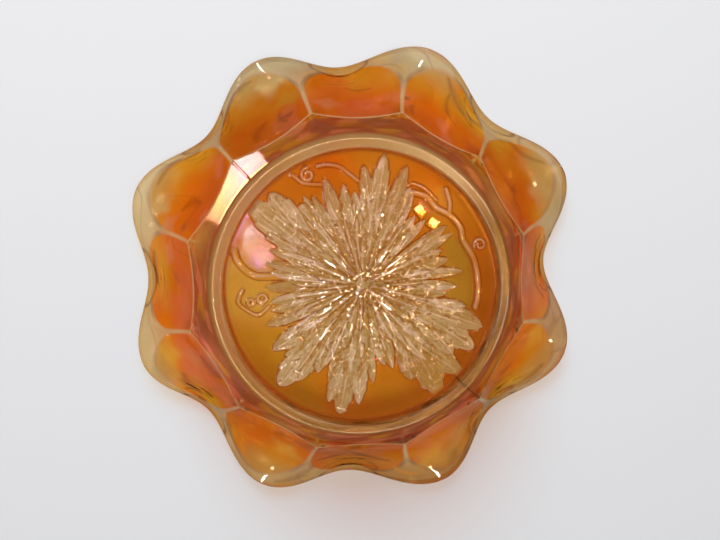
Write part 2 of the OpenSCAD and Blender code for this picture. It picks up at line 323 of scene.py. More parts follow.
def blade(root, tip, half, top, shade):
    """Adds one pointed blade of a leaf, with a keel, slanting facets and a notched edge."""
    root = np.array(root, float)
    tip = np.array(tip, float)
    length = np.linalg.norm(tip - root)
    axis = (tip - root) / length
    ahead = (grid_x - root[0]) * axis[0] + (grid_y - root[1]) * axis[1]
    aside = (grid_y - root[1]) * axis[0] - (grid_x - root[0]) * axis[1]
    t = ahead / length
    inside = (t > 0) & (t < 1)
    t = t[inside]
    side = aside[inside] - rng.uniform(-1.0, 1.0) * np.sin(pi * t)
    notch = t * 6 - np.floor(t * 6)
    w = half * 2.1 * t ** 0.6 * (1 - t) ** 0.55 * (0.82 + 0.18 * notch)
    place = side / np.maximum(w, 1e-6)
    a = np.abs(place)
    slant = t * 3.5 - a * 0.5
    facet = slant - np.floor(slant)
    lean = np.sin(12.9 * np.floor(slant) + 78.2 * np.sign(side) + 3.7 * root[0] + tip[1])
    shape = top * (1.25 - 0.62 * a) * (0.85 + 0.3 * t) + 0.45 * lean * (a - 0.5) + 0.22 * facet
    grooves = np.cos(6 * pi * place)
    shape = shape + rng.uniform(-0.25, 0.25) * place + 0.25 * bell(side, 0.35) + 0.05 * grooves
    edge = ease((1 - a) * w / 0.7)
    rib = bell(np.minimum(facet, 1 - facet), 0.05)
    # Painted light: painted highlights along the keel and the veins, and each facet painted lighter or darker
    # with the way it leans
    paint = shade + 0.55 * lean - 0.4 * facet + 1.4 * bell(side, 0.26) + 0.7 * rib + 0.35 * grooves
    lay(leaves, inside, np.where(a < 1, shape * edge, 0), paint)


def glazed(middle, turn, half_along):
    """Adds a small flat facet that slopes, turned about its middle, as long as given."""
    half_across = 2.2
    slope_x = -0.2155
    slope_y = 0.167
    dx = grid_x - middle[0]
    dy = grid_y - middle[1]
    turn = radians(turn)
    u = np.abs(dx * cos(turn) + dy * sin(turn)) / half_along
    v = np.abs(dy * cos(turn) - dx * sin(turn)) / half_across
    level = 0.75 + slope_x * dx + slope_y * dy - 0.005 * (dx * dx + dy * dy)
    found = np.maximum(0, level) * ease((1 - np.maximum(u, v)) / 0.12)
    np.maximum(strands, found, out=strands)


def chips(height, count, reach, weak, strong):
    """Breaks a relief's surface into flat chips, tilted most near the middle and on the right half."""
    near = flower_x ** 2 + flower_y ** 2 < reach ** 2
    px = grid_x[near]
    py = grid_y[near]
    nearest = np.full(px.shape, FAR)
    tip = np.zeros(px.shape)
    shade = np.zeros(px.shape)
    for i in range(count):
        angle = rng.uniform(0, 2 * pi)
        r = reach * sqrt(rng.random())
        cx = FLOWER_X + r * cos(angle)
        cy = FLOWER_Y + r * sin(angle)
        inner = 1 - min(1, r / 22)
        strength = mix(weak, strong, max(inner, (1 + cos(angle - 0.15)) / 2))
        own = rng.normal(0, 2.2 * strength)
        lean_x, lean_y = rng.normal(0, strength, 2)
        d2 = (px - cx) ** 2 + (py - cy) ** 2
        closer = d2 < nearest
        nearest[closer] = d2[closer]
        tip[closer] = (px[closer] - cx) * lean_x + (py[closer] - cy) * lean_y
        shade[closer] = own
    level = rise(height[near], 0.5, 0.6)
    height[near] = height[near] + np.clip(tip, -0.45, 0.45) * level
    tone[near] = tone[near] + shade * level


def smooth_path(points, steps=14):
    """Points along a smooth curve through the given ones."""
    p = np.array([points[0]] + list(points) + [points[-1]], float)
    out = []
    for i in range(1, len(p) - 2):
        for s in np.arange(steps) / steps:
            out.append(0.5 * (2 * p[i] + (p[i + 1] - p[i - 1]) * s
                              + (2 * p[i - 1] - 5 * p[i] + 4 * p[i + 1] - p[i + 2]) * s * s
                              + (3 * p[i] - p[i - 1] - 3 * p[i + 1] + p[i + 2]) * s ** 3))
    out.append(p[-1])
    return out


def spiral(centre, from_r, to_r, start, turn, steps=70):
    """Points along a curl that winds in towards its centre."""
    out = []
    for s in np.linspace(0, 1, steps):
        a = radians(start + turn * s)
        r = mix(from_r, to_r, s)
        out.append(np.array([centre[0] + r * cos(a), centre[1] + r * sin(a)]))
    return out


def strand(path, half, top):
    """Adds a half-round strand along a path, with a painted highlight along its top on the side towards the
    window.
    """
    path = np.array(path)
    low = path.min(axis=0) - half
    high = path.max(axis=0) + half
    near = (grid_x > low[0]) & (grid_x < high[0]) & (grid_y > low[1]) & (grid_y < high[1])
    px = grid_x[near]
    py = grid_y[near]
    nearest = np.full(px.shape, FAR)
    lit = np.full(px.shape, FAR)
    shift = 0.3 * half
    for q in path:
        nearest = np.minimum(nearest, (px - q[0]) ** 2 + (py - q[1]) ** 2)
        lit = np.minimum(lit, (px - q[0] + shift) ** 2 + (py - q[1] + shift) ** 2)
    found = top * np.sqrt(np.maximum(0, 1 - nearest / half ** 2))
    strands[near] = np.maximum(strands[near], found)
    crest_highlight[near] = np.maximum(crest_highlight[near], np.exp(-lit / (0.1 + 0.2 * half) ** 2))


def polished(near, share, cx, cy, facing):
    """Flattens a patch of the relief to face one way where it stands high enough, and says if it does."""
    level = relief[near].mean() if near.any() else 0.0
    if level < POLISH_FROM:
        return False
    flat = (level + facing.x / facing.z * (grid_x[near] - cx)
            + facing.y / facing.z * (grid_y[near] - cy))
    relief[near] = mix(relief[near], flat, share)
    return True


def facets(count, middle, spread, inner, outer, lamps):
    """Polishes small flats into the relief about a direction in degrees, each turned to one of the lamps."""
    for i in range(count):
        angle = radians(rng.normal(middle, spread))
        r = rng.uniform(inner, outer)
        cx = FLOWER_X + r * cos(angle)
        cy = FLOWER_Y + r * sin(angle)
        size = rng.uniform(0.55, 0.95)
        place = Vector((cx, cy, FOOT_H - FACET_DEPTH)) * MM
        spot = glint_places[rng.choice(lamps)]
        facing = (CAMERA_AT - place).normalized() + (spot - place).normalized()
        d = np.hypot(grid_x - cx, grid_y - cy)
        near = d < size
        polished(near, ease((1 - d[near] / size) / 0.45), cx, cy, facing)


def streaks(count, middle, half_turn, inner, outer):
    """Polishes thin strips along petals or a leaf, each turned to the lamp that stands most across it, and
    paints a highlight on each.
    """
    for i in range(count):
        angle = radians(middle + half_turn * rng.uniform(-1, 1))
        start = rng.uniform(inner, outer)
        half_long = rng.uniform(1.8, 3.8)
        half_wide = rng.uniform(0.24, 0.36)
        ray = Vector((cos(angle), sin(angle), 0))
        cx = FLOWER_X + (start + half_long) * ray.x
        cy = FLOWER_Y + (start + half_long) * ray.y
        place = Vector((cx, cy, FOOT_H - FACET_DEPTH)) * MM
        to_camera = (CAMERA_AT - place).normalized()
        level_place = Vector((place.x, place.y, 0))
        ways = [to_camera + (spot + level_place - place).normalized() for spot in glint_places]
        facing = min(ways, key=lambda way: abs(way.dot(ray) / way.z))
        ahead = (grid_x - cx) * ray.x + (grid_y - cy) * ray.y
        aside = (grid_y - cy) * ray.x - (grid_x - cx) * ray.y
        reach = np.maximum(np.abs(ahead) / half_long, np.abs(aside) / half_wide)
        near = reach < 1
        share = ease((1 - reach[near]) / 0.3)
        if polished(near, share, cx, cy, facing):
            tone[near] = mix(tone[near], STREAK_HIGHLIGHT, share)


# Leaves: root, height, tone, and the tip and half width of each blade
LEAVES = (
    ((-12, -9), 1.6, 0.6, ((-24, -34, 6.0), (-36, -22, 5.6), (-36.5, -38.5, 7.4), (-44.7, -35, 8.4))),
    ((-5, -14), 1.8, 0.2, ((-19.5, -37, 3.2), (-6.8, -41.5, 3.6), (-14.5, -44, 4.0))),
    ((5, -16), 1.9, 0.0, ((20.5, -40, 3.4), (1.5, -49, 4.2), (19, -48.5, 4.2), (10, -53.5, 4.8))),
    ((19, 8), 1.7, 0.3, ((43, 9, 3.6), (37.5, 29, 5.8), (49.8, 18, 6.2), (46.5, 27, 6.6))),
    ((15, 17), 1.3, -0.9, ((20, 39.5, 5.4), (41, 37, 6.6), (32, 46, 7.6))),
    ((-2, 20), 1.6, 0.2, ((-14.5, 47.5, 4.2), (-2, 49, 4.2), (-9.8, 53, 6.0))),
    ((-13, 12), 1.6, 0.5, ((-36.5, 25, 5.0), (-18.5, 35, 4.6), (-26.5, 38, 6.0), (-34.5, 40, 7.6))),
)
for root, top, shade, blades in LEAVES:
    for tip_x, tip_y, half in blades:
        blade(root, (tip_x, tip_y), half, top * rng.uniform(0.85, 1.1), shade)

# Stems and tendrils: half width, height, points of a smooth path, and a curl after it, as spiral takes it
STRANDS = (
    (1.4, 1.6, ((-30, -5), (-39.5, -5), (-43, -5.5), (-47, -8), (-50, -12), (-51, -16)), ()),
    (0.65, 1.2, ((-48.3, 0.5), (-50, 5), (-47, 8.2), (-42.2, 10.6), (-37.8, 7.4)), ()),
    (0.5, 1.0, (), ((-45, 5.3), 1.5, 0.9, 0, 380)),
    (0.55, 1.0, (), ((-40.2, 4.1), 2.1, 1.2, 90, 400)),
    (0.65, 1.2, ((-1, -43), (-4, -45.5), (-8, -48.5), (-13, -49.5), (-17, -49)),
     ((-21, -45.5), 2.9, 1, -90, -420)),
    (0.65, 1.2, ((-31, -48), (-26.5, -45), (-22.8, -42.3), (-15.9, -41.6)), ()),
    (1.15, 1.6, ((21, -38), (27, -36), (31, -31.5), (37, -28), (41, -23), (42, -18), (46, -11), (48, -3),
                 (48, 5), (47, 10)), ()),
    (0.55, 1.0, ((21, -41.5), (26, -39.5), (31, -34.5)), ()),
    (0.9, 1.3, ((36.5, -30), (36.5, -34), (35, -39)), ()),
    (0.6, 1.1, (), ((49, -16), 2.6, 1, 160, 400)),
)
for half, top, points, curl in STRANDS:
    path = smooth_path(points) if points else []
    if curl:
        path = path + spiral(*curl)
    strand(path, half, top)
glazed((24.6, -30.3), 52, 3.0)
glazed((29.8, -25.2), 34, 2.6)

# Petals: count, inner and outer end, half width, height, tip's height, if hollow, and turn in petal steps
PETAL_TIERS = (
    (42, 14, 40.5, 2.9, 1.7, 1.0, True, 0.0),
    (36, 11, 34, 2.4, 2.4, 1.6, True, 0.5),
    (30, 9, 27, 2.1, 3.0, 2.1, False, 0.2),
    (22, 6, 19, 1.8, 3.5, 2.6, False, 0.6),
    (13, 3, 11.5, 1.5, 3.8, 3.1, False, 0.1),
)
for tier in PETAL_TIERS:
    petals(*tier)
BOSS_R = 2.4
BOSS_H = 3.6
HEART_R = 20
HEART_H = 2.5
from_flower = flower_x ** 2 + flower_y ** 2
boss = np.maximum(0, 1 - from_flower / BOSS_R ** 2)
heart = np.maximum(0, 1 - from_flower / HEART_R ** 2)
flower = np.maximum(np.maximum(flower, BOSS_H * np.sqrt(boss)), HEART_H * heart)
# Chips: which relief, count, how far out, and the least and greatest tilt
chips(flower, 1600, 41, 0.1, 0.34)
chips(leaves, 900, 54, 0.14, 0.14)

relief = np.maximum(np.maximum(leaves, strands), flower)
# Facets and streaks: count, direction and spread in degrees, nearest and farthest start, and lamps
facets(130, 5, 40, 7, 38, (3, 4, 5, 6))
facets(36, 90, 200, 3, 13, (0, 4, 5, 6))
facets(50, 265, 25, 12, 46, (0, 2, 4, 5))
facets(70, 170, 60, 10, 46, (0, 1, 2))
streaks(44, 180, 180, 8, 33)
streaks(16, 220, 12, 32, 46)
relief = np.minimum(relief, RELIEF_H)
relief *= 1 - rise(radii[:, None] - GROUND_R, -GROUND_FADE, GROUND_FADE)

# How steep the relief is, how far a point lies below its neighbours' mean, and below the highest of them
WIDE_SPAN = 0.9
CLOSE_SPAN = 0.6
ROW_SPAN = 3
RIPPLE_H = 0.05
RIPPLE_FADE = 6
step = theta[1] - theta[0]
run_in = np.gradient(relief, radii, axis=0)
run_round = (np.roll(relief, -1, 1) - np.roll(relief, 1, 1)) / (2 * step * radii[:, None])
steepness = np.hypot(run_in, run_round)
recess, lift = np.zeros((2, *relief.shape))
for j in range(RELIEF_ROWS):
    wide, close = [min(max(1, round(span / (radii[j] * step))), COLUMNS // 8)
                   for span in (WIDE_SPAN, CLOSE_SPAN)]
    above = relief[min(RELIEF_ROWS - 1, j + ROW_SPAN)]
    below = relief[max(0, j - ROW_SPAN)]
    recess[j] = (np.roll(relief[j], wide) + np.roll(relief[j], -wide) + above + below) / 4 - relief[j]
    beside = np.maximum(np.roll(relief[j], close), np.roll(relief[j], -close))
    lift[j] = np.maximum(beside, np.maximum(above, below)) - relief[j]
ripple = RIPPLE_H * np.sin(grid_x * 0.31 + 1.7) * np.sin(grid_y * 0.27 + 0.4)
ripple *= 1 - rise(radii[:, None] - GROUND_R, -RIPPLE_FADE, RIPPLE_FADE)

# Rows of the mesh, from the middle of the underside out, up over the rim and back to the middle of the floor
row_r, row_z, row_tint, row_film, row_gilt, row_worn = ([] for i in range(6))


def add_row(r, z, tint, film, gilt, worn=0.0):
    """Adds a row of points. Its tint is given per column, and the rest once or per column."""
    row_tint.append(tint)
    for rows, value in ((row_r, r), (row_z, z), (row_film, film), (row_gilt, gilt), (row_worn, worn)):
        rows.append(np.broadcast_to(np.asarray(value, float), (COLUMNS,)))


def marble(height, seed, size, stretch):
    """Soft patches from about -1 to 1 at every column, by size in millimetres and stretch upwards."""
    draw = np.random.default_rng(seed)
    total = np.zeros(COLUMNS)
    for i in range(PATCH_WAVES):
        lean = draw.uniform(0, pi)
        pitch = size * draw.uniform(0.6, 1.8)
        waves = round(2 * pi * PATCH_R / pitch * cos(lean))
        climb = 2 * pi / (pitch * stretch) * sin(lean)
        total += np.sin(waves * theta + climb * height + draw.uniform(0, 2 * pi))
    return total / 3


def tinted(pairs):
    """A colour per column, from a first colour and then (colour, share) pairs laid over it."""
    colour = np.broadcast_to(np.array(pairs[0], float), (COLUMNS, 3))
    for over, share in pairs[1:]:
        share = np.broadcast_to(share, (COLUMNS,))[:, None]
        colour = mix(colour, np.array(over, float), share)
    return colour


# Colours of the glass, linear: how much of white light passes through a pane
MARIGOLD = (0.94, 0.115, 0.0003)
EMBER = (0.34, 0.027, 0.0005)
CHAMPAGNE = (0.58, 0.45, 0.125)
UMBER = (0.25, 0.062, 0.012)
IVORY = (0.92, 0.8, 0.5)
HONEY = (0.5, 0.24, 0.04)
TAN = (0.47, 0.29, 0.1)
NUTMEG = (0.2, 0.07, 0.005)
RUSSET = (0.27, 0.032, 0.006)
ROSE = (0.97, 0.19, 0.1)
OLIVE = (0.74, 0.28, 0.003)
PALE = (0.84, 0.71, 0.44)
CLEAR = (0.97, 0.9, 0.74)
PLUM = (0.15, 0.028, 0.018)
KHAKI = (0.56, 0.36, 0.06)
WHEAT = (0.53, 0.385, 0.082)
LINEN = (0.57, 0.455, 0.155)
SIENNA = (0.31, 0.085, 0.01)
PEACH = (0.74, 0.46, 0.26)
SOOT = (0.1, 0.03, 0.015)
SMOKE = (0.5, 0.4, 0.23)
SAND = (0.95, 0.54, 0.03)
CREAM = (0.97, 0.78, 0.42)
SCARLET = (0.8, 0.045, 0.004)
AMBER = (0.9, 0.31, 0.003)
CINDER = (0.24, 0.016, 0.0005)
BRONZE = (0.47, 0.25, 0.006)
CLOVE = (0.3, 0.034, 0.001)
RUST = (0.12, 0.018, 0.005)
GOLD = (0.78, 0.5, 0.13)
CORAL = (0.85, 0.3, 0.12)
LIME = (0.76, 0.62, 0.2)
CRIMSON = (0.19, 0.01, 0.011)
# The bright orange of painted glints on the flutes
ORANGE_GLINT = (1.0, 0.3, 0.004)
COCOA = (0.105, 0.036, 0.003)
INK = (0.05, 0.008, 0.002)


def on_side(angle, start, width):
    """1 on the side of the bowl about an angle in degrees, and 0 away from it, at every column."""
    return rise(np.cos(theta - radians(angle)), start, width)


def from_angle(angle):
    """Degrees from an angle to every column, the short way round."""
    return (degrees - angle + 180) % 360 - 180


def at_seams(half):
    """1 on the mould seams and 0 from a half width in degrees away, at every column."""
    return sum(np.maximum(0, 1 - np.abs(degrees - angle) / half) for angle in SEAM_ANGLES)


# The underside: painted shade on the ground by the ring, on the side away from the window
shade_side = on_side(62, -0.45, 1.1)
for j in range(RELIEF_ROWS):
    px = grid_x[j]
    py = grid_y[j]
    raised = rise(np.maximum(leaves[j], flower[j]), 0.3, 0.6)
    bare = 1 - raised
    line = rise(strands[j], 0.62, 0.3) * bare
    cord = ease(strands[j] / 0.4) * bare
    # foot: painted shade on the ground at the foot of the raised relief
    foot = rise(lift[j], 0.35, 0.5) * bare
    petal = rise(flower[j] - leaves[j], -0.15, 0.3)
    steep = rise(steepness[j], 0.9, 1.6)
    # Painted shade in the relief's recesses and on its steep sides
    shaded = np.maximum(0.7 * steep, 0.9 * ease(recess[j] / 0.4))
    near_ring = rise(radii[j], 42, 9)
    warm = clamp01(0.5 + 0.5 * np.sin(0.11 * px + 0.6) * np.sin(0.13 * py + 2.2))
    on_left = rise(-px, 22, 14) * ease((20 - np.abs(py)) / 14)
    low_left = rise(-px, 6, 20) * rise(py, 6, 16)
    on_right = rise(px, 28, 10) * ease((24 - np.abs(py + 2)) / 10) * (1 - rise(radii[j], 45, 4))
    from_centre = np.hypot(flower_x[j], flower_y[j])
    round_centre = np.arctan2(flower_y[j], flower_x[j])
    # hollow: painted shade in patches round the flower's centre
    hollow = bell(from_centre - 7.5, 3.2) * clamp01(0.45 + 0.55 * np.sin(5 * round_centre + 1.3))
    gleams = 0.6 + 0.4 * np.sin(0.35 * px + 0.5 * py)
    olive_leaf = bell(np.hypot(px - 31, py - 39), 11) * raised
    tint = tinted([MARIGOLD, (OLIVE, np.maximum(0.6 * warm, 0.9 * low_left)), (SAND, 0.9 * on_left),
                   (BRONZE, 0.85 * on_right), (CINDER, 0.68 * shade_side * near_ring),
                   (LINEN, raised), (WHEAT, raised * petal), (IVORY, clamp01(0.42 * tone[j]) * raised),
                   (CLEAR, clamp01(0.8 * tone[j] - 0.9) * raised), (HONEY, clamp01(-0.7 * tone[j]) * raised),
                   (SIENNA, shaded * raised), (BRONZE, 0.65 * olive_leaf), (NUTMEG, 0.5 * hollow),
                   (CINDER, 0.9 * foot), (AMBER, 0.5 * line), (CLEAR, 0.8 * crest_highlight[j] * bare * gleams)])
    soft = bell(np.hypot(px + 42, py + 17), 14) * bare
    upper_right = rise(px, 20, 4) * rise(-py, 20, 3)
    sheen = mix(0.45, 0.0, np.maximum(np.maximum(on_left, ease(1.6 * soft)), cord * (1 - upper_right)))
    sheen = mix(sheen, 0.92, cord * upper_right)
    golden = 0.1 + 0.4 * rise(px, -8, 26)
    gilt = mix(sheen, np.maximum(golden, 0.5 * clamp01(-tone[j])), raised)
    film = (1 - 0.9 * raised) * (1 - 0.5 * foot) * (1 - 0.6 * ease(strands[j] / 0.5))
    worn = 0.11 * soft + 0.1 * cord * upper_right
    add_row(radii[j], FOOT_H - relief[j] + ripple[j], tint, film, gilt, worn)

# The foot ring
heel_at_end = FOOT_H + (RING_END_R - FOOT_TOP_R) * heel_rise
ring_line = rounded([(GROUND_R, FOOT_H, 0), (RING_TOP_IN, FOOT_H, 0.6), (RING_FOOT_IN, 0, 0.6),
                     (RING_FOOT_OUT, 0, 0.7), (FOOT_TOP_R, FOOT_H, 1.2), (RING_END_R, heel_at_end, 0)], 9)
ring_points = []
for p, q in zip(ring_line[1:-2], ring_line[2:-1]):
    pieces = max(1, round(np.linalg.norm(q - p) / RING_STEP))
    ring_points += [mix(p, q, s) for s in np.arange(pieces) / pieces]
ring_points.append(ring_line[-2])
seam_line = at_seams(0.75)
ring_seam = np.cos(theta - radians(SEAM_ANGLES[0])) > 0
# Painted light and shade on the ring: lighter on the side the light comes from, darker on the right, and
# painted highlights along its rounded edges
ring_lit = on_side(245, -0.05, 0.9)
ring_shade = on_side(0, 0.75, 0.2)
ring_left = on_side(190, 0.25, 0.4)
ring_far = on_side(272, 0.7, 0.25)
for r, z in ring_points:
    to_heel = rise(r, 60.6, 2)
    inner_wall = rise(z, 0.9, 1.2) * ease((57.2 - r) / 0.6)
    top = 1 - rise(z, 0.8, 2.5)
    lines = clamp01(0.4 + 0.7 * marble(9 * r, 71, 44, 0.35))
    edge_gleam = bell(r - 56.9, 0.35) + bell(r - RING_FOOT_OUT, 0.35)
    tint = tinted([NUTMEG, (TAN, 0.9 * ring_lit), (COCOA, 0.8 * ring_shade),
                   (HONEY, 0.25 * lines * (1 - ring_shade)), (HONEY, 0.6 * ring_left),
                   (CHAMPAGNE, 0.35 * ring_far), (PALE, 0.25 * edge_gleam * lines), (RUSSET, to_heel),
                   (CLOVE, inner_wall), (INK, 0.95 * seam_line * ring_seam)])
    gilt = mix(0.3, 0.9, np.maximum(to_heel, inner_wall))
    add_row(r, z, tint, 0.1, gilt, 0.02 + 0.2 * np.maximum(top, 0.6 * inner_wall))

# The heel, with the mould seams across it
WINDOW_ANGLE = 208
SEAM_OUT = 0.72
SEAM_DOWN = 0.69
HEEL_RUN = 15
cut_r, cut_z = flute_cut(0)
edge_r = HEEL_R - cut_r
edge_z = HEEL_H - cut_z
seam = at_seams(360 / COLUMNS)
heel_length = np.hypot(edge_r - FOOT_TOP_R, edge_z - FOOT_H)
last = 1 - ARRIS_W / heel_length
first = HEEL_FROM / np.hypot(HEEL_R - FOOT_TOP_R, HEEL_H - FOOT_H)
window_end = bell(degrees - WINDOW_ANGLE, 6)
# Clouds in the heel's coat, pink, green and deep: the seed, size and stretch of each
HEEL_CLOUDS = ((21, 22, 0.55), (34, 18, 0.6), (55, 24, 0.4))
# Patches of the heel's coat: colour, share, angle and half width in degrees, place up the heel, half height
HEEL_PATCHES = (
    (BRONZE, 0.6, 28, 9, 0.8, 0.4), (HONEY, 0.5, 0, 6, 1.0, 0.3), (RUST, 0.5, 75, 8, 0.6, 0.5),
    (HONEY, 0.6, 120, 8, 0.8, 0.4), (RUST, 0.6, 136, 8, 0.3, 0.5), (RUST, 0.85, 151, 9, 0.2, 0.4),
    (RUST, 0.5, 165, 6, 0.4, 0.5), (HONEY, 0.9, 198, 7, 0.7, 0.5), (BRONZE, 0.6, 240, 6, 0.8, 0.4),
    (RUST, 0.6, 270, 10, 0.4, 0.7), (RUST, 0.6, 286, 6, 0.2, 0.4), (RUST, 0.75, 300, 8, 0.5, 0.8),
    (BRONZE, 0.6, 316, 6, 0.9, 0.4), (HONEY, 0.5, 331, 7, 0.4, 0.7),
)
for s in np.linspace(0, 1, HEEL_ROWS):
    share = mix(first, last, s)
    patches = []
    for colour, strength, angle, half, place, half_up in HEEL_PATCHES:
        patches.append((colour, strength * bell(from_angle(angle), half) * bell(s - place, half_up)))
    r = mix(FOOT_TOP_R, edge_r, share) + seam * SEAM_H * SEAM_OUT
    z = mix(FOOT_H, edge_z, share) - seam * SEAM_H * SEAM_DOWN
    pink, green, deep = [rise(marble(s * HEEL_RUN, *cloud), 0.1, 0.8) for cloud in HEEL_CLOUDS]
    tint = tinted([RUSSET, (ROSE, 0.4 * pink), (OLIVE, 0.38 * green), (PLUM, 0.7 * deep),
                   (INK, 0.95 * seam_line)] + patches)
    add_row(r, z, tint, 0.6, 0.8, 0.05 + 0.08 * window_end)

# Shares of rose, olive and ember in each flute's coat, from the flute at +X on towards +Y
FLUTE_COATS = (
    (0.8, 0.1, 0.0), (0.1, 0.9, 0.0), (0.9, 0.1, 0.1), (0.5, 0.0, 0.42), (0.1, 0.4, 0.1), (0.8, 0.2, 0.0),
    (0.3, 0.0, 0.0), (0.0, 0.1, 0.0), (0.0, 0.7, 0.55), (0.1, 0.0, 0.2), (0.0, 0.1, 0.1), (0.0, 0.7, 0.45),
)
# Marks on the flutes, of the coat's colours, of painted shade where the glass refracts light away and of
# bright painted orange glints: colour, share, half width in millimetres, and the angle and t they run from
# and to
MARKS = (
    (CORAL, 0.55, 3.2, 262, 0.3, 261, 0.18), (SCARLET, 0.6, 3.0, 274, 0.22, 268, 0.2),
    (RUST, 0.6, 0.7, 268, 0.58, 276, 0.52), (OLIVE, 0.6, 4.0, 289, 0.66, 292, 0.62),
    (SOOT, 0.9, 1.3, 286, 0.34, 287, 0.32), (RUST, 0.7, 0.7, 289, 0.28, 289, 0.12),
    (RUST, 0.75, 0.8, 299, 0.73, 304, 0.38), (SOOT, 0.7, 1.5, 297, 0.85, 311, 0.7),
    (RUST, 0.65, 0.9, 321, 0.82, 331, 0.88), (RUST, 0.6, 1.1, 327, 0.33, 333, 0.36),
    (RUST, 0.5, 1.1, 331, 0.4, 336, 0.25), (EMBER, 0.6, 2.4, 337, 0.25, 335, 0.18),
    (LIME, 0.45, 4.0, 338, 0.75, 336, 0.6), (PLUM, 0.85, 1.0, 349, 0.62, 355, 0.58),
    (PLUM, 0.85, 1.0, 355, 0.58, 368, 0.72), (ORANGE_GLINT, 0.8, 0.9, 361, 0.6, 363, 0.62),
    (CORAL, 0.45, 4.0, 359, 0.66, 369, 0.5), (CORAL, 0.45, 4.0, 55, 0.6, 59, 0.74),
    (CORAL, 0.3, 4.0, 153, 0.54, 147, 0.5), (SAND, 0.8, 4.0, 20, 0.62, 19, 0.46),
    (CRIMSON, 0.8, 1.0, 24, 0.17, 22, 0.16), (RUST, 0.6, 0.9, 35, 0.33, 30, 0.4),
    (PLUM, 0.8, 1.5, 41, 0.66, 27, 0.85), (ROSE, 0.8, 2.4, 66, 0.05, 54, 0.3),
    (BRONZE, 0.6, 2.5, 69, 0.3, 68, 0.2), (SAND, 0.6, 6.0, 70, 0.7, 66, 0.6),
    (UMBER, 0.6, 1.8, 64, 0.9, 61, 0.8), (ORANGE_GLINT, 0.85, 1.1, 79, 0.72, 73, 0.84),
    (PLUM, 0.8, 1.3, 102, 0.52, 93, 0.33), (PLUM, 0.8, 1.3, 93, 0.33, 80, 0.62),
    (CRIMSON, 0.6, 2.0, 112, 0.2, 107, 0.1), (SAND, 0.6, 5.0, 114, 0.5, 112, 0.38),
    (RUST, 0.7, 1.4, 119, 0.22, 117, 0.14), (UMBER, 0.7, 1.6, 111, 0.93, 103, 0.68),
    (ORANGE_GLINT, 0.8, 0.9, 127, 0.46, 126, 0.36), (ORANGE_GLINT, 0.8, 1.0, 125, 0.7, 122, 0.85),
    (CRIMSON, 0.75, 2.0, 151, 0.66, 143, 0.72), (CRIMSON, 0.8, 2.2, 155, 0.16, 147, 0.06),
    (CORAL, 0.7, 3.5, 157, 0.3, 153, 0.35), (SAND, 0.8, 4.5, 160, 0.7, 158, 0.55),
    (SMOKE, 0.6, 1.6, 156, 0.92, 150, 0.86), (PLUM, 0.8, 1.0, 188, 0.76, 178, 0.77),
    (CORAL, 0.6, 3.5, 190, 0.5, 188, 0.4), (EMBER, 0.5, 2.0, 183, 0.38, 181, 0.25),
    (CORAL, 0.7, 3.0, 198, 0.52, 196, 0.42), (PLUM, 0.7, 1.4, 199, 0.24, 198, 0.18),
    (LIME, 0.8, 3.0, 203, 0.74, 201, 0.6), (CINDER, 0.65, 1.4, 208, 0.18, 203, 0.37),
    (SOOT, 0.65, 0.9, 220, 0.77, 206, 0.83), (CINDER, 0.7, 1.7, 241, 0.28, 235, 0.13),
    (SOOT, 0.65, 1.0, 243, 0.86, 230, 0.79), (RUST, 0.75, 1.1, 246, 0.3, 247, 0.15),
    (RUST, 0.7, 1.0, 247, 0.22, 250, 0.22), (BRONZE, 0.6, 4.5, 250, 0.5, 251, 0.4),
    (LIME, 0.9, 2.6, 244, 0.76, 250, 0.72),
)


def marks(t, radius):
    """The marks at t as (colour, share) pairs, from the distance to each mark's bowed line."""
    pairs = []
    for colour, share, half, angle, start, end_angle, end in MARKS:
        across_mm = np.radians(from_angle(angle)) * radius
        along_mm = (t - start) * WALL_RUN
        run_across = radians(end_angle - angle) * radius
        run_along = (end - start) * WALL_RUN
        length = hypot(run_across, run_along)
        ahead = (across_mm * run_across + along_mm * run_along) / length
        aside = (across_mm * run_along - along_mm * run_across) / length
        passed = clamp01(ahead / length)
        bow = np.sin(pi * passed)
        away = np.hypot(aside - MARK_BOW * length * bow, ahead - passed * length)
        reach = half * (0.6 + 1.1 * bow ** 0.7)
        pairs.append((colour, MARK_SHARE * share * bell(away, reach)))
    return pairs


def lip_clouds(run):
    """Shares of smoke, peach and gilding in the pale glass above the flutes, at every column."""
    smoke = clamp01(0.5 + 0.9 * marble(run, 17, 34, 0.8))
    peach = clamp01(0.3 + 0.8 * marble(run, 29, 46, 0.9))
    return smoke, peach, rise(marble(run, 61, 15, 1.2), 0.2, 0.7)


on_lower_right = on_side(67, 0.85, 0.11)
on_far_left = on_side(180, 0.72, 0.16)
flute_of = (np.floor(turns).astype(int) + 1) % FLUTES
coat_rose, coat_olive, coat_ember = np.array(FLUTE_COATS)[flute_of].T
from_dip = np.min([np.abs(from_angle(dip)) for dip in place_angles[1::2]], axis=0)

# The pale arris between the heel and the wall
heel_end = np.array([mix(FOOT_TOP_R, edge_r, last), mix(FOOT_H, edge_z, last)])
wall_start = profile(FIRST_T)[:, None] - flute_cut(FIRST_T)
arris = (heel_end + wall_start) / 2
add_row(arris[0] + ARRIS_OUT, arris[1] - ARRIS_DOWN, tinted([IVORY]), 0.1, 0.1)

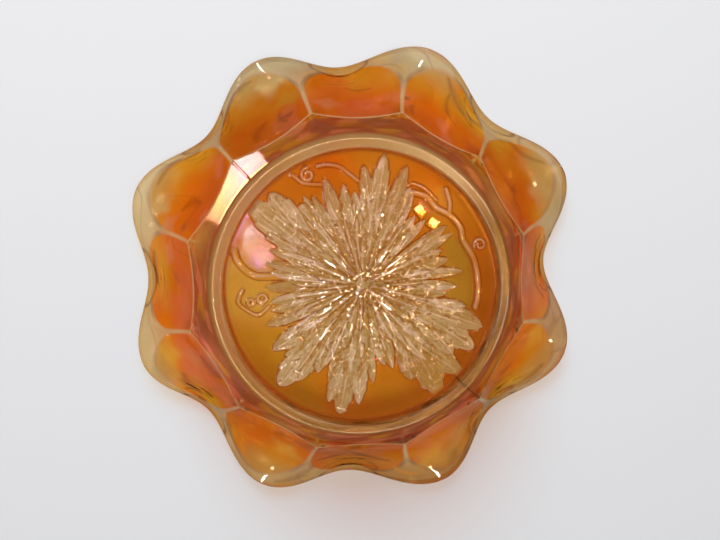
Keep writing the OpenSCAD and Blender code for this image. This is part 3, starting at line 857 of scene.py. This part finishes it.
# The wall, with the flutes, the pale lands between them and a lens pressed into each dip of the lip
for t in np.linspace(FIRST_T, 1, WALL_ROWS):
    p = profile(t)
    lens = np.hypot(np.radians(from_dip) * p[0] / LENS_HALF, (t - LENS_AT) * WALL_RUN / LENS_RISE)
    pressed = LENS_DEPTH * outward(profile_slope(t))
    dent = np.maximum(0, 1 - lens ** 2) * (1 - rise(t, 0.93, 0.07))
    r, z = ruffled(*(p[:, None] - flute_cut(t) - pressed[:, None] * dent), t)
    low = 1 - rise(t, 0.05, 0.5)
    high = rise(t, 0.4, 0.4)
    reach = flute_reach(t)
    tip = lobe_tip(t)
    panel = ease((1 + 0.05 * tip - reach) / mix(0.03, 0.2, tip))
    run = t * WALL_RUN
    arch = max(0.0, t - ARCH_START) / (ARCH_TOP - ARCH_START)
    red = clamp01(0.6 + 0.7 * marble(run, 3, 24, 1.4)) * mix(0.35, 1, low)
    gold = clamp01(0.7 + 0.7 * marble(run, 5, 24, 1.4)) * mix(0.3, 1, high)
    blush = rise(marble(run, 13, 20, 1.2), 0.5, 0.7) * low
    scarlet = (1 - rise(t, 0.02, 0.4)) * clamp01(0.5 + 0.9 * marble(run, 23, 24, 1.4))
    honeyed = rise(t, 0.3, 0.4) * clamp01(0.55 + 0.9 * marble(run, 51, 26, 1.2))
    streak = bell(marble(run, 8, 26, 1.6), 0.07) * rise(marble(run, 9, 40, 1.2), -0.1, 0.5)
    streak = streak * (1 - rise(t, 0.55, 0.3))
    patchy = clamp01(0.6 + 0.8 * marble(run, 37, 22, 1.5))
    # Painted shade: a dark line along the border of each flute's panel, below the lip
    border_shade = rise(reach, 0.95, 0.03) * (1 - rise(reach, 1.03, 0.05)) * rise(t, 0.45, 0.2) * (1 - 0.5 * tip)
    wedge = rise(np.abs(across), 0.55, 0.4) * (1 - rise(t, 0.04, 0.22))
    dusk = rise(arch, 0.3, 0.5) * lobe
    smoke, peach, gilded = lip_clouds(run)
    smoke = smoke * rise(t, 0.35, 0.3)
    gilded = gilded * rise(t, 0.5, 0.3)
    crease = bell(marble(run, 63, 30, 0.9), 0.07) * rise(t, 0.6, 0.2)
    lens_face = ease((1.0 - lens) / 0.12)
    lens_line = rise(lens, 0.9, 0.08) * ease((1.12 - lens) / 0.08)
    land = [CREAM, (PALE, rise(t, 0.15, 0.35)), (SMOKE, 0.6 * smoke), (PEACH, 0.6 * peach),
            (KHAKI, 0.35 * tip), (GOLD, 0.65 * gilded), (CREAM, 0.8 * on_far_left * high),
            (HONEY, 0.8 * on_lower_right * high), (RUST, 0.4 * crease)]
    coat = [(MARIGOLD, 1), (SCARLET, 0.75 * scarlet), (AMBER, 0.8 * honeyed),
            (ROSE, np.maximum(coat_rose * red, 0.5 * blush)), (OLIVE, coat_olive * gold),
            (EMBER, np.maximum(0.4 * streak, coat_ember)), (EMBER, 0.7 * wedge * patchy),
            (KHAKI, 0.75 * dusk)]
    coat = [(colour, share * panel) for colour, share in coat]
    drawn = [(RUST, 0.65 * border_shade * patchy), *marks(t, p[0]), (GOLD, 0.7 * lens_face), (RUST, 0.7 * lens_line)]
    add_row(r, z, tinted(land + coat + drawn), 0.2 + 0.5 * panel, 0.2 + 0.75 * panel)

# The rounded lip
smoke, peach, gilded = lip_clouds(WALL_RUN)
for s in np.linspace(0, 1, LIP_ROWS)[1:-1]:
    turn = pi * s
    over = outward(RIM_SLOPE) * cos(turn) + along(RIM_SLOPE) * sin(turn)
    p = lip_middle + over * LIP_T / 2
    dash = clamp01(0.4 + 0.9 * marble(WALL_RUN, 41, 30, 1.0)) * sin(turn) ** 4
    tint = tinted([PALE, (SMOKE, 0.6 * smoke), (PEACH, 0.6 * peach), (GOLD, 0.6 * gilded),
                   (CREAM, 0.8 * on_far_left), (HONEY, 0.8 * on_lower_right), (CORAL, 0.85 * dash)])
    add_row(*ruffled(*p, 1), tint, 0.2, 0.2)


def inner_point(t):
    return profile(t) - outward(profile_slope(t)) * mix(WALL_T, LIP_T, t)


# The plain inside: the wall, the bend and the floor
INSIDE = {"film": 0.5, "gilt": 0.4}
for t in np.linspace(1, BEND_START, INNER_ROWS):
    tint = tinted([CLEAR, (PALE, 0.6 * rise(t, 0.8, 0.2))])
    add_row(*ruffled(*inner_point(t), t), tint, **INSIDE)
bend_top = inner_point(BEND_START)
bend_slope = profile_slope(BEND_START)
bend_corner = bend_top - along(bend_slope) * (bend_top[1] - FLOOR_H) / sin(bend_slope)
floor_edge = np.array([FLOOR_R, FLOOR_H])
for s in np.linspace(0, 1, BEND_ROWS)[1:]:
    p = (1 - s) ** 2 * bend_top + 2 * s * (1 - s) * bend_corner + s * s * floor_edge
    add_row(*ruffled(*p, BEND_START * (1 - s)), tinted([CLEAR]), **INSIDE)
for r in np.linspace(FLOOR_R, FLOOR_R / FLOOR_ROWS, FLOOR_ROWS)[1:]:
    add_row(r, FLOOR_H, tinted([CLEAR]), **INSIDE)


def placed(name, data):
    """A new object in the scene."""
    made = bpy.data.objects.new(name, data)
    scene.collection.objects.link(made)
    return made


def point_values(rows):
    """What rows hold for every point of the mesh, with the two centre points last."""
    values = np.array(rows, np.float32)
    return np.concatenate([values.reshape(-1, *values.shape[2:]), values[[0, -1], 0]])


def build_mesh(name):
    """One closed mesh from the rows, with a centre point under the base and one on the floor."""
    r = np.array(row_r)
    z = np.array(row_z)
    rows = len(r)
    points = np.stack([r * np.cos(theta), r * np.sin(theta), z], 2).reshape(-1, 3)
    under = [0, 0, z[0].mean()]
    floor = [0, 0, z[-1].mean()]
    points = np.concatenate([points, [under, floor]]) * MM
    column = np.arange(COLUMNS)
    after = (column + 1) % COLUMNS
    start = np.arange(rows - 1)[:, None] * COLUMNS
    on = start + COLUMNS
    quads = np.stack([start + column, start + after, on + after, on + column], 2).reshape(-1, 4)
    last_row = (rows - 1) * COLUMNS
    fan_under = np.stack([np.full(COLUMNS, rows * COLUMNS), after, column], 1)
    fan_floor = np.stack([np.full(COLUMNS, rows * COLUMNS + 1), last_row + column, last_row + after], 1)
    loops = np.concatenate([quads.ravel(), fan_under.ravel(), fan_floor.ravel()])
    sizes = np.concatenate([np.full(len(quads), 4), np.full(2 * COLUMNS, 3)])
    starts = np.concatenate([[0], np.cumsum(sizes)[:-1]])
    mesh = bpy.data.meshes.new(name)
    mesh.vertices.add(len(points))
    mesh.vertices.foreach_set("co", points.astype(np.float32).ravel())
    mesh.loops.add(len(loops))
    mesh.loops.foreach_set("vertex_index", loops.astype(np.int32))
    mesh.polygons.add(len(sizes))
    mesh.polygons.foreach_set("loop_start", starts.astype(np.int32))
    mesh.update(calc_edges=True)
    mesh.polygons.foreach_set("use_smooth", np.ones(len(sizes), bool))
    colour = np.concatenate([point_values(row_tint), point_values(row_film)[:, None]], 1)
    layer = mesh.attributes.new("tint", "FLOAT_COLOR", "POINT")
    layer.data.foreach_set("color", colour.ravel())
    for label, rows_of in (("gilt", row_gilt), ("worn", row_worn)):
        layer = mesh.attributes.new(label, "FLOAT", "POINT")
        layer.data.foreach_set("value", point_values(rows_of))
    mesh.validate()
    mesh.update()
    return placed(name, mesh)


def give(tree, socket, value):
    """Sets an input, or links it where the value is the output of a node."""
    if isinstance(value, bpy.types.NodeSocket):
        tree.links.new(value, socket)
    else:
        socket.default_value = value


def node(tree, kind, *ordered, **named):
    """A new node, with its first inputs given in order and others by name."""
    made = tree.nodes.new(kind)
    for number, value in enumerate(ordered):
        give(tree, made.inputs[number], value)
    for name, value in named.items():
        give(tree, made.inputs[name.replace("_", " ")], value)
    return made


def maths(tree, operation, *values):
    """The result of a Math node."""
    made = node(tree, "ShaderNodeMath", *values)
    made.operation = operation
    return made.outputs["Value"]


def blended(tree, factor, first, second, kind="MIX"):
    """The mix of two colours."""
    made = node(tree, "ShaderNodeMix")
    made.data_type = "RGBA"
    made.blend_type = kind
    for number, value in ((0, factor), (6, first), (7, second)):
        give(tree, made.inputs[number], value)
    return made.outputs[2]


def ramped(tree, value, stops):
    """A colour for a value, by stops of a place and a colour."""
    made = node(tree, "ShaderNodeValToRGB", Fac=value)
    elements = made.color_ramp.elements
    for place, colour in stops[2:]:
        elements.new(place)
    for stop, (place, colour) in zip(elements, stops):
        stop.position = place
        stop.color = (*colour, 1)
    return made.outputs["Color"]


def noise(tree, place, **values):
    """A noise's value at a place."""
    return node(tree, "ShaderNodeTexNoise", Vector=place, **values).outputs["Fac"]


def ranged(tree, value, **values):
    """A value carried from one range to another."""
    return node(tree, "ShaderNodeMapRange", Value=value, **values).outputs["Result"]


def attribute(tree, name):
    """The outputs of a node that reads a mesh attribute."""
    made = node(tree, "ShaderNodeAttribute")
    made.attribute_name = name
    return made.outputs


def new_material(name):
    """A material with an empty node tree, that tree, and the object's own coordinates in it."""
    material = bpy.data.materials.new(name)
    material.use_nodes = True
    tree = material.node_tree
    tree.nodes.clear()
    return material, tree, node(tree, "ShaderNodeTexCoord").outputs["Object"]


def show(tree, factor, first, second):
    """Sends the mix of two shaders to the material's output."""
    shader = node(tree, "ShaderNodeMixShader", factor, first, second)
    node(tree, "ShaderNodeOutputMaterial", Surface=shader.outputs["Shader"])


def glass_material():
    """Pressed glass with a sprayed iridescent coat, whose colour and thickness vary over the surface."""
    material, tree, place = new_material("marigold_glass")
    tint = attribute(tree, "tint")
    patches = noise(tree, place, Scale=45.0, Detail=3.0, Roughness=0.55, Distortion=0.6)
    patchy = ramped(tree, patches, ((0.32, (0.92, 0.68, 0.55)), (0.66, (1.0, 1.0, 1.0))))
    colour = blended(tree, tint["Alpha"], tint["Color"], patchy, "MULTIPLY")

    flow = noise(tree, place, Scale=22.0, Detail=2.0, Roughness=0.5, Distortion=1.2)
    thickness = ranged(tree, flow, From_Min=0.3, From_Max=0.7, To_Min=235.0, To_Max=330.0)
    film = maths(tree, "MULTIPLY", thickness, tint["Alpha"])

    grain = noise(tree, place, Scale=900.0, Detail=2.0, Roughness=0.6)
    dull = ranged(tree, grain, From_Min=0.3, From_Max=0.7, To_Min=0.01, To_Max=0.05)
    rough = maths(tree, "ADD", dull, attribute(tree, "worn")["Fac"])
    peel = noise(tree, place, Scale=260.0, Detail=2.0, Roughness=0.5)
    bump = node(tree, "ShaderNodeBump", Strength=0.06, Distance=0.0004, Height=peel)

    gilt = attribute(tree, "gilt")["Fac"]
    sheen = blended(tree, gilt, (1.0, 0.92, 0.78, 1), (1.0, 0.38, 0.08, 1))
    glass = node(tree, "ShaderNodeBsdfPrincipled", Metallic=0.0, IOR=1.52, Thin_Film_IOR=1.75,
                 Transmission_Weight=1.0, Base_Color=colour, Roughness=rough, Thin_Film_Thickness=film,
                 Specular_Tint=sheen, Normal=bump.outputs["Normal"])

    # Light on its way to the table passes straight through, tinted
    half = node(tree, "ShaderNodeGamma", Gamma=0.38, Color=colour)
    shadow = blended(tree, 0.25, half.outputs["Color"], (0.95, 0.8, 0.76, 1))
    through = node(tree, "ShaderNodeBsdfTransparent", Color=shadow)
    path = node(tree, "ShaderNodeLightPath").outputs
    passing = maths(tree, "MAXIMUM", path["Is Shadow Ray"], path["Is Diffuse Ray"])
    show(tree, passing, glass.outputs["BSDF"], through.outputs["BSDF"])
    return material


bowl = build_mesh("bowl_glass")
bowl.data.materials.append(glass_material())
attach(bowl, "root")
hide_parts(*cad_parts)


def one_sided(name, colour, glow, full_to, gone_from, edge_on):
    """A plain pale surface that shows on one side only, and fades out far off and where seen edge on."""
    material, tree, place = new_material(name)
    darker = [c * 0.985 for c in colour]
    cloud = noise(tree, place, Scale=3.0, Detail=2.0)
    pale = ramped(tree, cloud, ((0, darker), (1, colour)))
    matt = node(tree, "ShaderNodeBsdfDiffuse", Color=pale)
    light = node(tree, "ShaderNodeEmission", Strength=glow, Color=pale)
    both = node(tree, "ShaderNodeAddShader", matt.outputs["BSDF"], light.outputs["Emission"])
    away = node(tree, "ShaderNodeVectorMath", place)
    away.operation = "LENGTH"
    fade = node(tree, "ShaderNodeMapRange", Value=away.outputs["Value"], From_Min=full_to, From_Max=gone_from)
    fade.interpolation_type = "SMOOTHSTEP"
    tilt = node(tree, "ShaderNodeLayerWeight", Blend=0.5).outputs["Facing"]
    flat = ranged(tree, tilt, From_Min=edge_on, From_Max=edge_on + 0.1)
    thinned = maths(tree, "MAXIMUM", fade.outputs["Result"], flat)
    direct = node(tree, "ShaderNodeLightPath").outputs["Is Camera Ray"]
    faded = maths(tree, "MULTIPLY", thinned, direct)
    behind = node(tree, "ShaderNodeNewGeometry").outputs["Backfacing"]
    hidden = maths(tree, "MAXIMUM", behind, faded)
    gone = node(tree, "ShaderNodeBsdfTransparent")
    show(tree, hidden, both.outputs["Shader"], gone.outputs["BSDF"])
    return material


def plane(name, half, z, facing, material):
    """A square sheet of the stage that faces up or down and takes no part in lighting the bowl."""
    corners = [(-half, -half, z), (half, -half, z), (half, half, z), (-half, half, z)]
    mesh = bpy.data.meshes.new(name)
    mesh.from_pydata(corners, [], [(0, 1, 2, 3) if facing > 0 else (3, 2, 1, 0)])
    mesh.materials.append(material)
    made = placed(name, mesh)
    made.visible_shadow = False
    made.visible_diffuse = False
    made.visible_glossy = False


BACKDROP = (0.8, 0.8, 0.81)
FLOOR_WHITE = (0.8, 0.8, 0.8)
TABLE_GAP = 0.0005
plane("table", 3.0, RIM_TOP * MM + TABLE_GAP, -1, one_sided("table_white", BACKDROP, 0.0, 0.34, 0.45, 0.8))
plane("floor", 6.0, 0.0, 1, one_sided("floor_white", FLOOR_WHITE, 0.48, 0.45, 1.1, 2.0))


def lamp(name, place, target, width, height, power, colour):
    """A soft area lamp that faces its target."""
    data = bpy.data.lights.new(name, "AREA")
    data.shape = "RECTANGLE"
    data.size = width
    data.size_y = height
    data.energy = power
    data.color = colour
    made = placed(name, data)
    made.visible_camera = False
    made.location = place
    made.rotation_mode = "QUATERNION"
    made.rotation_quaternion = (Vector(target) - Vector(place)).to_track_quat("-Z", "Y")
    return made


def sparkle(*values):
    """A lamp, by the values that lamp takes, that only shows as a highlight on the glass."""
    made = lamp(*values)
    made.visible_diffuse = False
    made.visible_transmission = False
    return made


MIDDLE = (0, 0, 0.03)
FLOWER_AT = (0, 0, FOOT_H * MM)
COOL = (0.99, 0.99, 1.0)
# Soft lamps that don't show in the glass: name, place, width, power and colour
ROOM_LAMPS = (
    ("room_key", (-0.25, -1.32, -1.2), 1.0, 30, COOL),
    ("room_top", (0.05, 0.0, -1.4), 0.9, 9.4, COOL),
    ("upper_key", (0.08, 0.2, 1.35), 0.35, 5.0, (1.0, 0.98, 0.95)),
    ("upper_fill", (0.26, 0.02, 1.3), 0.3, 2.2, (0.97, 0.98, 1.0)),
)
for name, place, width, power, colour in ROOM_LAMPS:
    room = lamp(name, place, MIDDLE, width, width, power, colour)
    room.visible_glossy = False
    room.visible_transmission = False

# Small lamps for highlights: over the bowl, the window, its patch on the base, the flower and the rim
for number, place in enumerate(((0.08, 0.2, 1.35), (0.26, 0.02, 1.3), (0.17, 0.13, 1.4))):
    sparkle(f"top_glint_{number}", place, MIDDLE, 0.05, 0.05, 0.5, COOL)
window = sparkle("window", (-0.106, -0.083, 0.014), (0, 0, 0.012), 0.075, 0.011, 0.0115, (1.0, 0.98, 0.96))
window.data.spread = radians(70)
sparkle("patch", (-0.044, 0.0635, -1.0), (-0.039, -0.022, 0), 0.034, 0.038, 0.13, (0.42, 0.45, 1.0))
for number, place in enumerate(glint_places):
    warmth = 1 - 0.45 * max(0.0, cos(radians(GLINT_ANGLES[number])))
    colour = (1.0, 0.5 + 0.5 * warmth, warmth)
    glint = sparkle(f"glint_{number}", place, FLOWER_AT, 0.12, 0.1, GLINT_WATTS, colour)
    glint.data.spread = GLINT_SPREAD
RIM_GLINT_OUT = 0.9
for number, angle in enumerate(place_angles[::2]):
    turn = radians(angle)
    drop = -0.2 + 0.12 * cos(turn - radians(22))
    place = (RIM_GLINT_OUT * cos(turn), RIM_GLINT_OUT * sin(turn), drop)
    sparkle(f"rim_glint_{number}", place, MIDDLE, 0.05, 0.05, 0.12, COOL)

# The world: a dim room by height, and the backdrop's white for the camera and through the glass from above
WORLD_STOPS = ((0.0, 0.02), (0.1, 0.04), (0.3, 0.06), (0.5, 0.02), (0.88, 0.03), (0.96, 0.3), (1.0, 0.3))
world = bpy.data.worlds.new("room")
scene.world = world
world.use_nodes = True
tree = world.node_tree
tree.nodes.clear()
way = node(tree, "ShaderNodeTexCoord").outputs["Generated"]
up_way = node(tree, "ShaderNodeSeparateXYZ", Vector=way).outputs["Z"]
height = ranged(tree, up_way, From_Min=-1.0, From_Max=1.0)
sky = ramped(tree, height, [(place, [value] * 3) for place, value in WORLD_STOPS])
above = ranged(tree, up_way, From_Min=-0.03, From_Max=-0.02)
rays = node(tree, "ShaderNodeLightPath").outputs
beyond = maths(tree, "MULTIPLY", rays["Is Transmission Ray"], above)
seen = maths(tree, "MAXIMUM", rays["Is Camera Ray"], beyond)
shown = blended(tree, seen, sky, (*BACKDROP, 1))
background = node(tree, "ShaderNodeBackground", Color=shown)
node(tree, "ShaderNodeOutputWorld", Surface=background.outputs["Background"])

# The camera looks at the underside from a little up and to the left, as the photograph does
CAMERA_ROLL = radians(0.76)
SENSOR_MM = 36
LENS_MM = 50
camera_data = bpy.data.cameras.new("camera")
camera_data.sensor_width = SENSOR_MM
camera_data.lens = LENS_MM
camera_data.clip_start = 0.01
camera = placed("camera", camera_data)
back = (CAMERA_AT - CAMERA_AIM).normalized()
right = Vector((sin(CAMERA_ROLL), -cos(CAMERA_ROLL), 0)).cross(back).normalized()
up = back.cross(right)
camera.matrix_world = Matrix.Translation(CAMERA_AT) @ Matrix((right, up, back)).transposed().to_4x4()
bpy.context.scene.camera = camera

scene.view_settings.view_transform = "Standard"
scene.cycles.max_bounces = 20
scene.cycles.transmission_bounces = 16
scene.cycles.glossy_bounces = 8
scene.cycles.transparent_max_bounces = 32
scene.cycles.caustics_reflective = False
scene.cycles.caustics_refractive = False
scene.cycles.use_denoising = True
